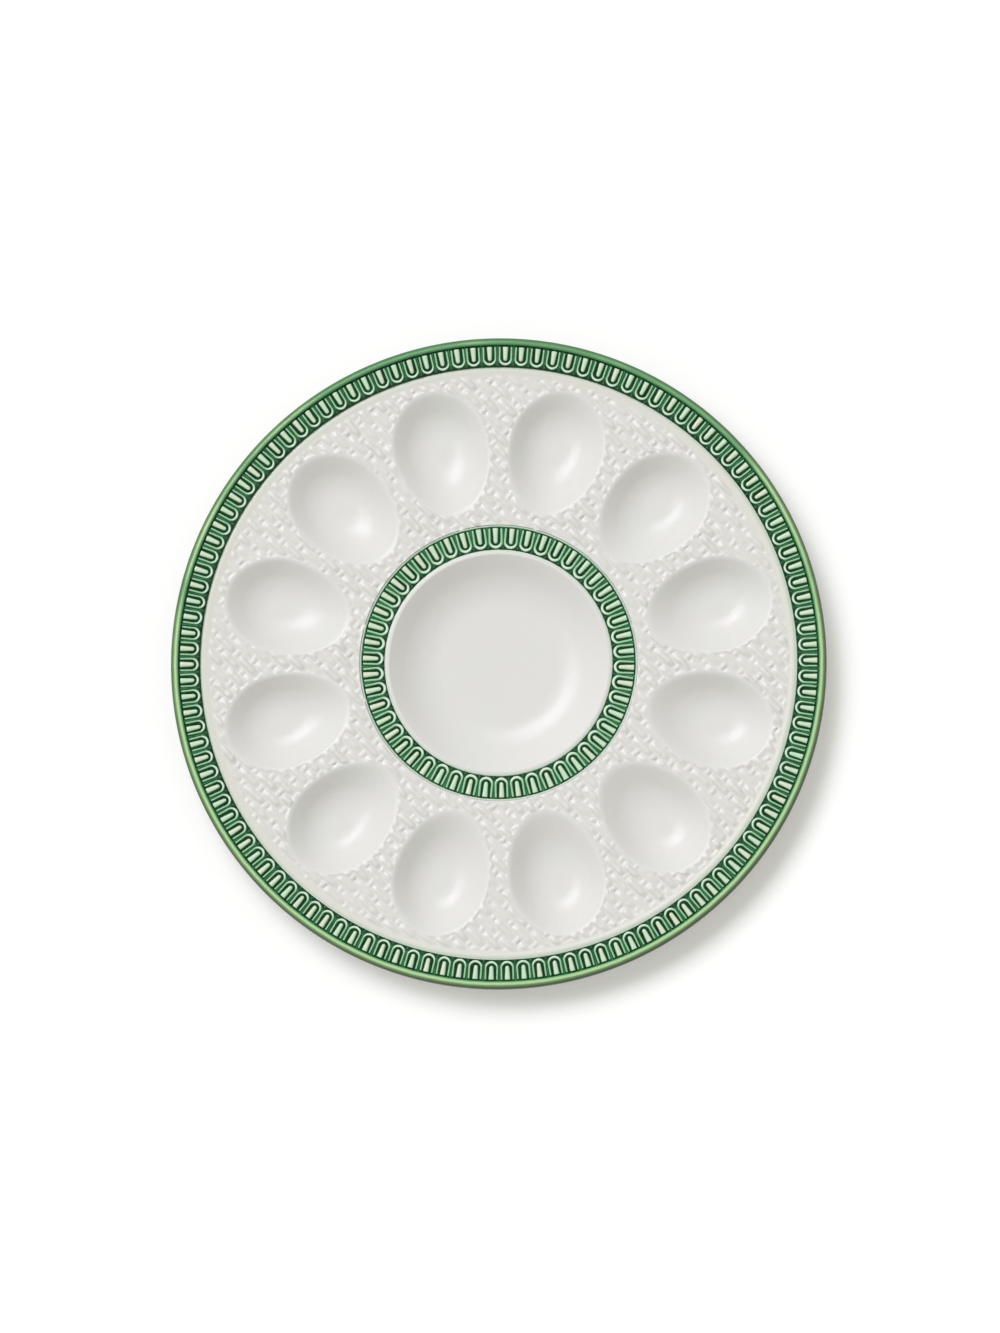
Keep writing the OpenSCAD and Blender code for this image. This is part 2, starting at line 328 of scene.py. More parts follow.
def topHeight(x, y):
    u, v = toWell(x, y)
    field = fieldHeight(x, y) + weaveCover(x, y) * weaveRelief(x, y)
    field += lipCrest["height"] * np.exp(-((eggDistance(u, v) - lipCrest["place"]) / lipCrest["width"]) ** 2)
    square, farAbove = eggSection(u) ** 2 - v ** 2, field + 20.0
    deep = np.sqrt(np.clip(square, nearEdge, None)) - eggRise
    cup = np.where(square > nearEdge, platter["fieldHeight"] - wellSection(deep), farAbove)
    return smoothMin(field, cup, wells["lipSoftness"])


def underHeight(x, y):
    u, v = toWell(x, y)
    square = eggSection(u, wells["wall"]) ** 2 - v ** 2
    cup = np.where(square > nearEdge, eggAxis - np.sqrt(np.clip(square, nearEdge, None)), eggAxis)
    return smoothMin(np.full_like(x, platter["plateUnder"]), cup, wells["underBlend"])


def slopeNormals(height, x, y, up):
    step = 0.02
    slopeX = (height(x + step, y) - height(x - step, y)) / (2.0 * step)
    slopeY = (height(x, y + step) - height(x, y - step)) / (2.0 * step)
    normal = np.stack([-slopeX, -slopeY, np.ones_like(x)], -1)
    return up * normal / np.linalg.norm(normal, axis=1)[:, None]


def circlePoints(radius, count):
    turn = anglesRound(count)
    return radius * np.stack([np.cos(turn), np.sin(turn)], -1)


def triangulate(loops, loose):
    # keeps every loop as edges; returns the points, the triangles and each loop's points
    edges, loopIds, start = [], [], 0
    for loop in loops:
        ids = np.arange(start, start + len(loop))
        start += len(loop)
        loopIds.append(ids)
        edges += zip(ids.tolist(), np.roll(ids, -1).tolist())
    points = np.vstack([*loops, loose])
    vectors, weld = [Vector(p) for p in points.tolist()], 1e-5
    verts, _, faces, origins, _, _ = delaunay_2d_cdt(vectors, edges, [], 0, weld)
    back = np.full(len(points), -1)
    for new, olds in enumerate(origins):
        for old in olds:
            back[old] = new
    return np.array([tuple(v) for v in verts]), np.array(faces), [back[ids] for ids in loopIds]


# Points of the plate's two sides. Rings are a well's outline as (share, every how many of its points),
# grown is how far it is moved outwards, circles are (distance from the border, points), and clear is
# how far the loose grid keeps from the inner border, the outer one and a lip.
grid = {
    "borderPoints": (480, 960),
    "topSpacing": 0.52,
    "topRings": ((0.0, wells["around"]), (0.12, 6), (0.24, 3), (0.36, 2), (0.47, 2), (0.57, 1), (0.66, 1),
                 (0.74, 1), (0.81, 1), (0.865, 1), (0.905, 1), (0.935, 1)),
    "topGrown": (-0.95, -0.6, -0.3, 0.0, 0.3, 0.62),
    "innerCircles": ((0.7, 480), (1.5, 480)),
    "outerCircles": ((0.15, 960), (0.32, 960), (0.6, 720), (1.1, 720), (1.8, 720), (2.6, 720), (3.4, 720),
                     (4.1, 720)),
    "topClear": (1.9, 4.5, 0.95),
    "rimClear": 0.22,  # the same from the line where a well's piece ends
    "underSpacing": 2.2,
    "underRings": ((0.0, wells["around"]), (0.2, 4), (0.4, 4), (0.58, 2), (0.73, 2), (0.85, 2), (0.93, 2),
                   (1.04, 2), (1.09, 2)),
    "underClear": (1.2, 1.2, 3.2),
}


def everyWell(shapes):
    return [fromWell(k, shape) for k in range(wells["count"]) for shape in shapes]


def wellLoops(outline):
    # the lines that triangles may not cross: both borders, then each well
    borderRadii = platter["flangeRadius"], platter["outerBorder"][0]
    return [*map(circlePoints, borderRadii, grid["borderPoints"]), *everyWell([outline])]


def loosePoints(side, shift, rise):
    # a grid whose every second row is shifted, and each point's distance from the nearest egg
    spacing, clear, outer = grid[side + "Spacing"], grid[side + "Clear"], platter["outerBorder"][0]
    line = np.arange(-outer, outer + spacing, spacing)
    gx, gy = np.meshgrid(line, line)
    gx[::2] += shift * spacing
    gx, gy = gx.ravel(), gy.ravel()
    radius = np.hypot(gx, gy)
    keep = (radius > platter["flangeRadius"] + clear[0]) & (radius < outer - clear[1])
    return np.stack([gx, gy], -1), keep, eggDistance(*toWell(gx, gy), rise)


def topPoints():
    inner, outer, lip = platter["flangeRadius"], platter["outerBorder"][0], wellOutline(0.0, eggRise)
    rings = [lip[::step] * share for share, step in grid["topRings"]]
    parts = everyWell(rings + [wellOutline(grow, eggRise) for grow in grid["topGrown"]])
    parts += [circlePoints(inner + gap, count) for gap, count in grid["innerCircles"]]
    parts += [circlePoints(outer - gap, count) for gap, count in grid["outerCircles"]]
    loose, keep, distance = loosePoints("top", 0.5, eggRise)
    keep &= (distance > grid["topClear"][2]) & (np.abs(distance - wells["wall"]) > grid["rimClear"])
    return wellLoops(wellOutline(wells["wall"], eggRise)), np.vstack(parts + [loose[keep]])


def underPoints():
    waist = wellOutline(wells["wall"], underRise)
    rings = [waist[::step] * share for share, step in grid["underRings"]]
    loose, keep, distance = loosePoints("under", 0.0, underRise)
    keep &= distance - wells["wall"] > grid["underClear"][2]
    return wellLoops(waist), np.vstack(everyWell(rings) + [loose[keep]])


def layer(points, height, rise, up):
    # triangulates one side and sorts its triangles by the well that they lie in, or -1 for the field
    loops, loose = points()
    flat, faces, loopIds = triangulate(loops, loose)
    middle = flat[faces].mean(axis=1)
    radius, slack = np.hypot(middle[:, 0], middle[:, 1]), 0.02
    inRing = (radius > platter["flangeRadius"] - slack) & (radius < platter["outerBorder"][0])
    faces, middle = faces[inRing], middle[inRing]
    area = np.cross(flat[faces[:, 1]] - flat[faces[:, 0]], flat[faces[:, 2]] - flat[faces[:, 0]])
    flip = area * up < 0.0
    faces[flip] = faces[flip][:, ::-1]
    u, v = toWell(middle[:, 0], middle[:, 1])
    inside = eggSection(u, wells["wall"]) ** 2 - v ** 2 > rise ** 2
    number = np.floor((np.arctan2(middle[:, 1], middle[:, 0]) % (2.0 * pi)) / wellPitch).astype(int)
    x, y = flat[:, 0], flat[:, 1]
    verts = np.stack([x, y, height(x, y)], -1)
    return verts, faces, slopeNormals(height, x, y, up), np.where(inside, number, -1), loopIds


def band(lower, upper):
    # quads between two loops of equal length, facing right as one walks along them
    return np.stack([lower, np.roll(lower, -1), np.roll(upper, -1), upper], -1)


def platePieces():
    top, topFaces, topNormals, topPlace, topLoops = layer(topPoints, topHeight, eggRise, 1.0)
    under, underFaces, underNormals, underPlace, underLoops = layer(underPoints, underHeight, underRise, -1.0)
    shift = len(top)
    underLoops = [ids + shift for ids in underLoops]
    allVerts, allNormals = np.vstack([top, under]), np.vstack([topNormals, underNormals])
    woven = np.concatenate([weaveCover(top[:, 0], top[:, 1]), np.zeros(len(under))])
    made = []
    for place in range(-1, wells["count"]):
        tris = np.vstack([topFaces[topPlace == place], underFaces[underPlace == place] + shift])
        if place < 0:
            name, node = "field", "field_plate"
            walls = [band(topLoops[0], underLoops[0]), band(underLoops[1], topLoops[1])]
            walls += [band(topLoops[2 + k], underLoops[2 + k]) for k in range(wells["count"])]
        else:
            name, node = f"eggWell{place + 1:02d}", f"egg_well_{place + 1:02d}"
            walls = [band(underLoops[2 + place], topLoops[2 + place])]
        walls = np.vstack(walls)
        wallTris = np.vstack([walls[:, [0, 1, 2]], walls[:, [0, 2, 3]]])
        corners = allVerts[wallTris]
        wallNormals = np.cross(corners[:, 1] - corners[:, 0], corners[:, 2] - corners[:, 0])
        wallNormals /= np.maximum(np.linalg.norm(wallNormals, axis=1), 1e-9)[:, None]
        faces = np.vstack([tris, wallTris])
        normals = np.vstack([allNormals[tris.ravel()], np.repeat(wallNormals, 3, axis=0)])
        used, small = np.unique(faces, return_inverse=True)
        piece = makePiece(name, allVerts[used], small.reshape(-1, 3), normals, {"woven": woven[used]})
        made.append(settle(piece, node))
    print("field and wells", sum(len(p.data.polygons) for p in made), "faces")
    return made


whitePieces = platePieces()


# Centre bowl, rim, foot and rolled edge

bowl = {
    "floorRadius": 28.0,
    "cove": 32.0,  # radius of the curve from the floor to the wall
    "slope": 36.0,
    "lipCorner": 53.4,
    "lipRound": 1.0,
    "lipFall": (1.9, 0.52),  # width and height over which the lip rounds down to the border
    "fieldFall": (0.7, 0.5),  # the same on the border's outer side
    "seatDrop": 0.3,  # how far the clay lies below the top of the border's ground
    "underCentre": (29.97, 28.2),
    "underCurve": 27.2,
    "underSlope": 36.0,
    "underCorner": ((2.4, 0.0), (0.7, 0.25)),  # distance from where wall and plate meet, and depth
    "floorRows": (0.0, 8.0, 18.0, 26.0),
    "wallRows": (0.12, 0.4, 0.7),
    "underWallRows": (0.75, 0.4),
    "underFloorRows": (20.0, 10.0, 0.0),
    "steps": 360,
    "sharp": 30.0,
}


def bowlProfile():
    top, ground = platter["fieldHeight"], platter["innerGround"] - bowl["seatDrop"]
    inner, outer = platter["innerBorder"]
    slope, cove, corner, lip = radians(bowl["slope"]), bowl["cove"], bowl["lipCorner"], bowl["lipRound"]
    startR = bowl["floorRadius"] + cove * sin(slope)
    startZ = top - (corner - startR) * tan(slope)
    centre = (bowl["floorRadius"], startZ + cove * cos(slope))
    reach = lip * tan(slope / 2.0)
    wallR, wallZ = corner - reach * cos(slope) - startR, top - reach * sin(slope) - startZ
    profile = [(r, centre[1] - cove) for r in bowl["floorRows"]]
    profile += arc(*centre, cove, cove, np.linspace(-90.0, bowl["slope"] - 91.0, 26))
    profile += [(startR + t * wallR, startZ + t * wallZ) for t in bowl["wallRows"]]
    profile += arc(corner + reach, top - lip, lip, lip, np.linspace(90.0 + bowl["slope"], 90.0, 9))
    wide, low = bowl["lipFall"]
    profile += arc(inner - wide, top - low, wide, low, (89.0, 75.0, 60.0, 45.0, 30.0, 15.0, 0.0))
    profile += [(inner, ground), (outer, ground)]
    wide, low = bowl["fieldFall"]
    profile += arc(outer + wide, top - low, -wide, low, np.linspace(0.0, 90.0, 6))
    profile += [(platter["flangeRadius"], top), (platter["flangeRadius"], platter["plateUnder"])]
    # underneath: a soft corner, the sloping wall, the curve and the flat
    under, curve, centre = platter["plateUnder"], bowl["underCurve"], bowl["underCentre"]
    slope = radians(bowl["underSlope"])
    footR, footZ = centre[0] + curve * sin(slope), centre[1] - curve * cos(slope)
    joinR = footR + (under - footZ) / tan(slope)
    profile += [(joinR + out, under - down) for out, down in bowl["underCorner"]]
    profile += [(footR + (joinR - footR) * t, footZ + (under - footZ) * t) for t in bowl["underWallRows"]]
    profile += arc(*centre, curve, curve, np.linspace(bowl["underSlope"] - 90.0, -90.0, 18))
    return profile + [(r, centre[1] - curve) for r in bowl["underFloorRows"]]


def makeBowl():
    piece = lathe("centreBowl", bowlProfile()[::-1], bowl)
    return settle(piece, "centre_bowl")


flange = {"underEdge": 15.1, "seat": 17.4, "inset": 0.4, "steps": 480, "sharp": 35.0}


def makeFlange():
    inner, outer = platter["outerBorder"]
    inset, seat = flange["inset"], flange["seat"]
    profile = [(inner, platter["plateUnder"]), (outer + inset, flange["underEdge"]),
               (outer + inset, seat), (inner + inset, seat)]
    return settle(lathe("rimFlange", profile, flange), "rim_flange")


foot = {
    "middle": 98.0,
    "thick": 6.0,
    "rounding": 1.5,
    "heights": (2.4, 4.0, 6.0, 8.0, 10.4),  # rows of points up its sides
    "overlap": 0.4,  # how far it reaches into the plate
    "sink": 1.2,  # and into the cups that cross it
    "steps": 720,
    "sharp": 40.0,
}


def makeFoot():
    inner, outer = foot["middle"] - foot["thick"] / 2.0, foot["middle"] + foot["thick"] / 2.0
    r, top = foot["rounding"], platter["plateUnder"] + foot["overlap"]
    profile = arc(inner + r, r, r, r, np.linspace(180.0, 270.0, 6))
    profile += arc(outer - r, r, r, r, np.linspace(270.0, 360.0, 6))
    profile += [(outer, z) for z in foot["heights"]]
    profile += [(outer, top), ((inner + outer) / 2.0, top), (inner, top)]
    profile += [(inner, z) for z in foot["heights"][::-1]]

    def underCups(verts):
        # the ring ends inside the walls of the cups that cross it
        ceiling = underHeight(verts[:, :, 0], verts[:, :, 1]) + foot["sink"]
        verts[:, :, 2] = np.minimum(verts[:, :, 2], np.minimum(ceiling, top))
        return verts

    piece = lathe("footRing", profile, foot, wobble=underCups)
    return settle(piece, "foot_ring")


bead = {
    "top": 20.0,
    "under": 13.0,
    "crest": 157.4,  # radius of its highest line
    "shoulder": 16.6,  # height at which the outer side turns downwards
    "innerFall": 1.5,  # how far the inner side comes down to the border
    "swells": ((0.05, 7.0, 1.0), (0.04, 17.0, 0.0), (0.02, 41.0, 2.0)),  # height, number round the rim, start
    "lowered": 0.11,  # keeps the highest swell under the top
    "steps": 720,
    "sharp": 60.0,
}


def makeBead():
    inner, outer = platter["outerBorder"][1], platter["radius"]
    r, crest, top = (outer - inner) / 2.0, bead["crest"], bead["top"]
    low = arc(outer - r, bead["under"] + r, r, r, np.linspace(180.0, 360.0, 12))
    high = arc(crest, bead["shoulder"], outer - crest, top - bead["shoulder"], np.linspace(0.0, 90.0, 12))
    high += arc(crest, top - bead["innerFall"], crest - inner, bead["innerFall"], np.linspace(100.0, 180.0, 7))
    turn = [0.0] * len(low) + [(outer - point[0]) / (outer - inner) for point in high]

    def handMade(verts):
        angle = np.arctan2(verts[:, :, 1], verts[:, :, 0])
        swell = sum(tall * np.sin(angle * count + start) for tall, count, start in bead["swells"])
        share = smoothStep(bead["shoulder"] - 1.0, top - 1.0, verts[:, :, 2])
        verts[:, :, 2] += (swell - bead["lowered"]) * share
        return verts

    piece = lathe("rolledEdge", low + high, bead, {"turn": turn}, handMade)
    return settle(piece, "rolled_edge")


whitePieces += [makeBowl(), makeFlange()]
footRing = makeFoot()
rolledEdge = makeBead()
print("bowl, rim, foot and rolled edge")


# The two green borders

moulding = {
    "tongueWidth": 2.8,
    "tongueTip": 1.9,
    "tongueHeight": 1.15,
    "tongueRows": (0.02, 0.1, 0.25, 0.5, 0.85, 1.6, 2.6, 3.8, 5.0),  # from its tip
    "tongueEndRows": (0.9, 0.4, 0.15, 0.0),  # from its open end
    "tongueTaper": (0.78, 0.22),  # share of the height at the tip, and what the open end adds
    "tongueTipLeast": (0.12, 0.15),  # shares of the width and height that its very tip keeps
    "tongueSwell": 0.8,  # how fast the height comes up behind the tip
    "tongueDroop": (0.5, 0.35),  # length and share of the height over which the open end bends down
    "archGap": 1.15,
    "archWidth": 0.6,
    "archHeight": 0.8,
    "archInset": 1.0,
    "archEnds": 0.82,  # height of its two ends as a share of the rest
    "crownBroad": 0.3,  # how much broader an arch is at its crown
    "tipGap": 1.4,
    "openGap": 0.5,
    "dartWidth": 2.2,
    "dartHeight": 0.5,
    "dartInset": 0.3,
    "dartRows": ((0.0, 1.0, 0.7), (0.35, 0.92, 0.95), (0.9, 0.68, 1.0), (1.5, 0.42, 0.9), (2.0, 0.2, 0.6),
                 (2.4, 0.04, 0.2)),  # distance, share of the width, share of the height
    "foot": 0.08,  # how far each piece of the moulding sinks into its ground
    "strays": (0.0006, 0.018, 0.05, 0.03),  # how unevenly they were pressed: turn, width, distance, height
    "sharp": 75.0,
}
archMiddle = moulding["tongueWidth"] / 2.0 + moulding["archGap"] + moulding["archWidth"] / 2.0
borders = {
    "outer": {"span": platter["outerBorder"], "ground": platter["outerGround"],
              "count": 122, "turn": 1.3, "seed": 21, "archSpread": 1.95},
    "inner": {"span": platter["innerBorder"], "ground": platter["innerGround"],
              "count": 50, "turn": 5.8, "seed": 22, "archSpread": 2.3},
}


def section(*points):
    # a cross-section from half of it, in shares of half the width and of the height
    return np.array(points + tuple((-across, up) for across, up in points[-2::-1])).T


sections = {
    "tongue": section((1.1, 0.0), (1.0, 0.12), (0.93, 0.32), (0.8, 0.62), (0.58, 0.88), (0.3, 0.98),
                      (0.0, 1.0)),
    "arch": section((-1.0, 0.0), (-0.74, 0.3), (-0.5, 0.75), (-0.24, 0.96), (0.0, 1.0)),
    "dart": section((1.0, 0.0), (0.72, 0.45), (0.35, 0.85), (0.0, 1.0)),
}


def sectionRow(kind, x, half, rise):
    across, up = sections[kind]
    return np.stack([np.full(len(across), x), half * across, rise * up - moulding["foot"]], -1)


def loft(rows):
    # a closed skin through rows of points, each row a closed loop, with flat ends
    rows = np.array(rows)
    ids = np.arange(rows[..., 0].size).reshape(rows.shape[:2])
    faces = [quad for lower, upper in zip(ids, ids[1:]) for quad in band(lower, upper).tolist()]
    return rows.reshape(-1, 3), [*faces, ids[0, ::-1].tolist(), ids[-1].tolist()]


def tongueShape(length):
    tip, wide = moulding["tongueTip"] / 2.0, moulding["tongueWidth"] / 2.0
    droop, drop = moulding["tongueDroop"]
    (low, more), (leastWide, leastTall) = moulding["tongueTaper"], moulding["tongueTipLeast"]
    rows = []
    for x in (*moulding["tongueRows"], *(length - back for back in moulding["tongueEndRows"])):
        share = min(x / length, 1.0)
        dome = sqrt(max(1.0 - (1.0 - min(x / tip, 1.0)) ** 2, 0.0))
        half = (tip + (wide - tip) * share) * max(dome, leastWide)
        rise = moulding["tongueHeight"] * (low + more * share) * max(dome, leastTall) ** moulding["tongueSwell"]
        if x > length - droop:
            rise *= 1.0 - drop * ((x - length + droop) / droop) ** 2
        rows.append(sectionRow("tongue", x, half, rise))
    return loft(rows)


def archShape(length, spread):
    half = moulding["archWidth"] / 2.0
    crown = archMiddle + half
    across, up = sections["arch"]
    across, up = across * half * spread, up * moulding["archHeight"] - moulding["foot"]
    straight = np.linspace(length, crown, 7)[:-1]
    path = [(x, -archMiddle, 0.0, -1.0) for x in straight]
    for a in np.radians(np.linspace(-90.0, -270.0, 21)):
        path.append((crown + archMiddle * cos(a), archMiddle * sin(a), cos(a), sin(a)))
    path += [(x, archMiddle, 0.0, 1.0) for x in straight[::-1]]
    rows = []
    for n, (x, y, outX, outY) in enumerate(path):
        fall = moulding["archEnds"] if n in (0, len(path) - 1) else 1.0
        broad = 1.0 + moulding["crownBroad"] * max(-outX, 0.0)
        rows.append(np.stack([x + outX * across * broad, y + outY * across * broad, up * fall], -1))
    return loft(rows)


def dartShape():
    wide, tall = moulding["dartWidth"] / 2.0, moulding["dartHeight"]
    return loft([sectionRow("dart", x, wide * share, tall * rise) for x, share, rise in moulding["dartRows"]])


def repeatRound(name, border, seed, shape, inset, shift):
    # copies round a border, each a little different, moved by shift as a share of a step
    (verts, faces), rng = shape, np.random.default_rng(seed)
    turnStray, widthStray, outStray, tallStray = moulding["strays"]
    count, sink, start = border["count"], moulding["foot"], pi / 2.0 - radians(border["turn"])
    every, allFaces, tint = [], [], []
    for k in range(count):
        turn = start + (k - shift) * 2.0 * pi / count + rng.normal(0.0, turnStray)
        side = verts[:, 1] * (1.0 + rng.normal(0.0, widthStray))
        out = verts[:, 0] + border["span"][0] + inset + rng.normal(0.0, outStray)
        up = verts[:, 2] * (1.0 + rng.normal(0.0, tallStray)) + border["ground"]
        every.append(np.stack([out * cos(turn) - side * sin(turn),
                               out * sin(turn) + side * cos(turn), up], -1))
        allFaces += [[i + k * len(verts) for i in f] for f in faces]
        tint.append(np.full(len(verts), rng.uniform(0.0, 1.0)))
    relief = (verts[:, 2] + sink) / (verts[:, 2].max() + sink)
    values = {"relief": np.tile(relief, count), "tint": np.concatenate(tint)}
    return makePiece(name, np.vstack(every), allFaces, values=values, sharp=moulding["sharp"])


borderGround = {
    "rings": 22,
    "flatFrom": 0.6,  # distance from the white at which the top is flat
    "shoulder": ((0.3, 0.08), (0.1, 0.3)),  # distance from the white, and depth below the top
    "skirt": 0.3,
    "steps": 720,
    "sharp": 50.0,
}


def groundShape(name, border):
    # a thin ring, its top rounded down where it meets the white
    (inner, outer), top = border["span"], border["ground"]
    under = top - platter["groundThick"]
    profile = [(inner, under - borderGround["skirt"]), (outer, under)]
    profile += [(r, top) for r in np.linspace(outer, inner + borderGround["flatFrom"], borderGround["rings"])]
    profile += [(inner + out, top - down) for out, down in borderGround["shoulder"]]
    return lathe(name, profile, borderGround)


def makeBorder(key):
    border = borders[key]
    length = border["span"][1] - border["span"][0] - moulding["openGap"]
    archInset = moulding["archInset"]
    tongueInset = archInset + moulding["archWidth"] + moulding["tipGap"]
    shapes = {  # shape, distance from the border's inner side, share of a step between two tongues
        "tongues": (tongueShape(length - tongueInset), tongueInset, 0.0),
        "arches": (archShape(length - archInset, border["archSpread"]), archInset, 0.0),
        "darts": (dartShape(), moulding["dartInset"], 0.5),
    }
    pieces = {"ground": groundShape(key + "Ground", border)}
    for n, (part, look) in enumerate(shapes.items()):
        pieces[part] = repeatRound(key + part.capitalize(), border, border["seed"] + 10 * n, *look)
    for part, piece in pieces.items():
        settle(piece, f"{key}_{part}")
    print(key, "border", border["count"], "tongues")
    return pieces


mouldings = {key: makeBorder(key) for key in borders}


# Materials. Places on the platter are in millimetres here too.

class Value:
    # a number or colour inside a material: sums on numbers add their Math nodes
    def __init__(self, shader, socket):
        self.shader, self.socket = shader, socket

    def maths(self, operation, *others):
        return self.shader.node("ShaderNodeMath", {"operation": operation}, dict(enumerate((self, *others))))

    def __add__(self, other):
        return self.maths("ADD", other)

    def __sub__(self, other):
        return self.maths("SUBTRACT", other)

    def __rsub__(self, other):
        return self.maths("MULTIPLY_ADD", -1.0, other)

    def __mul__(self, other):
        return self.maths("MULTIPLY", other)

    __radd__, __rmul__ = __add__, __mul__


class Shader:
    def __init__(self, name, world=False):
        self.owner = (bpy.data.worlds if world else bpy.data.materials).new(name)
        self.owner.use_nodes = True
        self.tree = self.owner.node_tree
        self.tree.nodes.clear()

    def node(self, kind, settings=None, sockets=None, output=0):
        made = self.tree.nodes.new(kind)
        for key, setting in (settings or {}).items():
            if key == "stops":
                ramp = made.color_ramp
                while len(ramp.elements) < len(setting):
                    ramp.elements.new(1.0)
                for element, (place, colour) in zip(ramp.elements, setting):
                    element.position, element.color = place, (*colour, 1.0)
            else:
                setattr(made, key, setting)
        for key, given in (sockets or {}).items():
            if isinstance(given, Value):
                self.tree.links.new(given.socket, made.inputs[key])
            elif isinstance(given, tuple) and made.inputs[key].type == "RGBA":
                made.inputs[key].default_value = (*given, 1.0)
            else:
                made.inputs[key].default_value = given
        return Value(self, made.outputs[output]) if len(made.outputs) else None

    def place(self):
        return self.node("ShaderNodeTexCoord", output="Object")

    def axes(self):
        # x, y and height of a point
        parts = self.node("ShaderNodeSeparateXYZ", None, {0: self.place()})
        return [Value(self, socket) * (1.0 / mm) for socket in parts.socket.node.outputs]

    def radius(self):
        x, y, _ = self.axes()
        return (x * x + y * y).maths("SQRT")

    def noise(self, size, shift, detail=2.0, roughness=0.5):
        # lumps of about `size` millimetres; each use has its own shift
        where = self.node("ShaderNodeVectorMath", {"operation": "ADD"}, {0: self.place(), 1: (shift,) * 3})
        sockets = {"Vector": where, "Scale": 1.0 / (size * mm), "Detail": detail, "Roughness": roughness}
        return self.node("ShaderNodeTexNoise", None, sockets)

    def stray(self, amount, *noise):
        # noise about 0, to make a line waver
        return (self.noise(*noise) - 0.5) * amount

    def mix(self, share, first, second):
        return self.node("ShaderNodeMix", {"data_type": "RGBA"}, {0: share, 6: first, 7: second}, 2)

    def ramp(self, value, stops):
        return self.node("ShaderNodeValToRGB", {"stops": stops}, {"Fac": value})

    def smooth(self, value, low, high, start=0.0, end=1.0):
        sockets = {"Value": value, "From Min": low, "From Max": high, "To Min": start, "To Max": end}
        return self.node("ShaderNodeMapRange", {"interpolation_type": "SMOOTHSTEP"}, sockets)

    def stored(self, name):
        return self.node("ShaderNodeAttribute", {"attribute_name": name}, None, "Fac")

    def bump(self, height, distance, strength, under=None):
        sockets = {"Height": height, "Distance": distance * mm, "Strength": strength}
        if under is not None:
            sockets["Normal"] = under
        return self.node("ShaderNodeBump", None, sockets)

    def finish(self, **sockets):
        named = {key.replace("_", " "): given for key, given in sockets.items()}
        shader = self.node("ShaderNodeBsdfPrincipled", None, {"IOR": glazeIndex, **named})
        self.node("ShaderNodeOutputMaterial", None, {"Surface": shader})
        return self.owner


glazeIndex = 1.5
greens = {
    "deep": (0.004, 0.021, 0.007),
    "full": (0.012, 0.078, 0.027),
    "between": (0.055, 0.215, 0.09),
    "leaf": (0.08, 0.3, 0.115),
    "mint": (0.38, 0.65, 0.41),
    "bright": (0.69, 0.86, 0.69),
    "pale": (0.56, 0.78, 0.56),
    "cream": (0.7, 0.77, 0.59),
    "poolGloss": 0.08,
    "poolRoughness": 0.14,
    "highGloss": 0.22,
    "highRoughness": 0.16,
    "outerEnd": (0.95, 0.55),  # distances from a border's outer side between which the relief darkens
}
white = {
    "base": (0.74, 0.729, 0.7),
    "cool": (0.73, 0.73, 0.698),
    "warm": (0.748, 0.73, 0.702),
    "woven": (0.74, 0.729, 0.69),
    "margin": (0.726, 0.726, 0.656),  # tinged by the green beside it
    "marginFrom": (139.5, 142.5),
    "fringe": (0.6, 0.72, 0.59),
    "fringeFrom": (143.9, 145.0),  # beside the outer border
    "lipFrom": (54.0, 55.2),  # and on both sides of the inner one
    "lipTo": (67.2, 68.4),
    "overlap": (0.26, 0.47, 0.29),  # green that has crept up the edge beside the inner border
    "overlapFrom": (66.2, 66.4),
    "overlapTo": (66.9, 67.4),
    "topFrom": (15.9, 16.7),  # heights between which the tinges end
    "gloss": 0.27,
    "roughness": 0.2,
}


def whiteGlaze():
    s = Shader("whiteGlaze")
    colour = s.mix(s.smooth(s.noise(26.0, 0.0, 3.0, 0.55), 0.35, 0.65), white["cool"], white["warm"])
    colour = s.mix(s.smooth(s.noise(3.0, 0.3, 2.0, 0.6), 0.3, 0.8, 0.0, 0.35), colour, white["base"])
    colour = s.mix(s.stored("woven") * 0.8, colour, white["woven"])
    r, stray, height = s.radius(), s.stray(1.2, 9.0, 0.7), s.axes()[2]
    top = s.smooth(height, *white["topFrom"])
    colour = s.mix(s.smooth(r, *white["marginFrom"]) * top, colour, white["margin"])
    lip = s.smooth(r, *white["lipFrom"]) * (1.0 - s.smooth(r + stray, *white["lipTo"]))
    fringe = s.smooth(r + stray, *white["fringeFrom"]) + lip
    colour = s.mix(fringe * top * 0.75, colour, white["fringe"])
    overlap = s.smooth(r, *white["overlapFrom"]) * (1.0 - s.smooth(r + stray * 0.4, *white["overlapTo"]))
    colour = s.mix(overlap * 0.85, colour, white["overlap"])
    wave = s.bump(s.noise(4.5, 1.3), 0.35, 0.25)
    peel = s.bump(s.noise(0.9, 2.3), 0.06, 0.3, wave)
    rough = white["roughness"] + 0.1 * s.noise(7.0, 3.1)
    return s.finish(Base_Color=colour, Roughness=rough, Normal=peel, Specular_IOR_Level=white["gloss"])


def poolColour(s):
    # thick glaze in the hollows: nearly black green where it is deepest
    depth = s.noise(2.6, 4.7, 3.0, 0.6) * 0.7 + s.noise(16.0, 5.3) * 0.5 - 0.1
    return s.ramp(depth, [(0.3, greens["deep"]), (0.75, greens["full"])])


def greenFinish(s, colour, wave, kind="high"):
    return s.finish(Base_Color=colour, Normal=wave, Roughness=greens[kind + "Roughness"],
                    Specular_IOR_Level=greens[kind + "Gloss"])


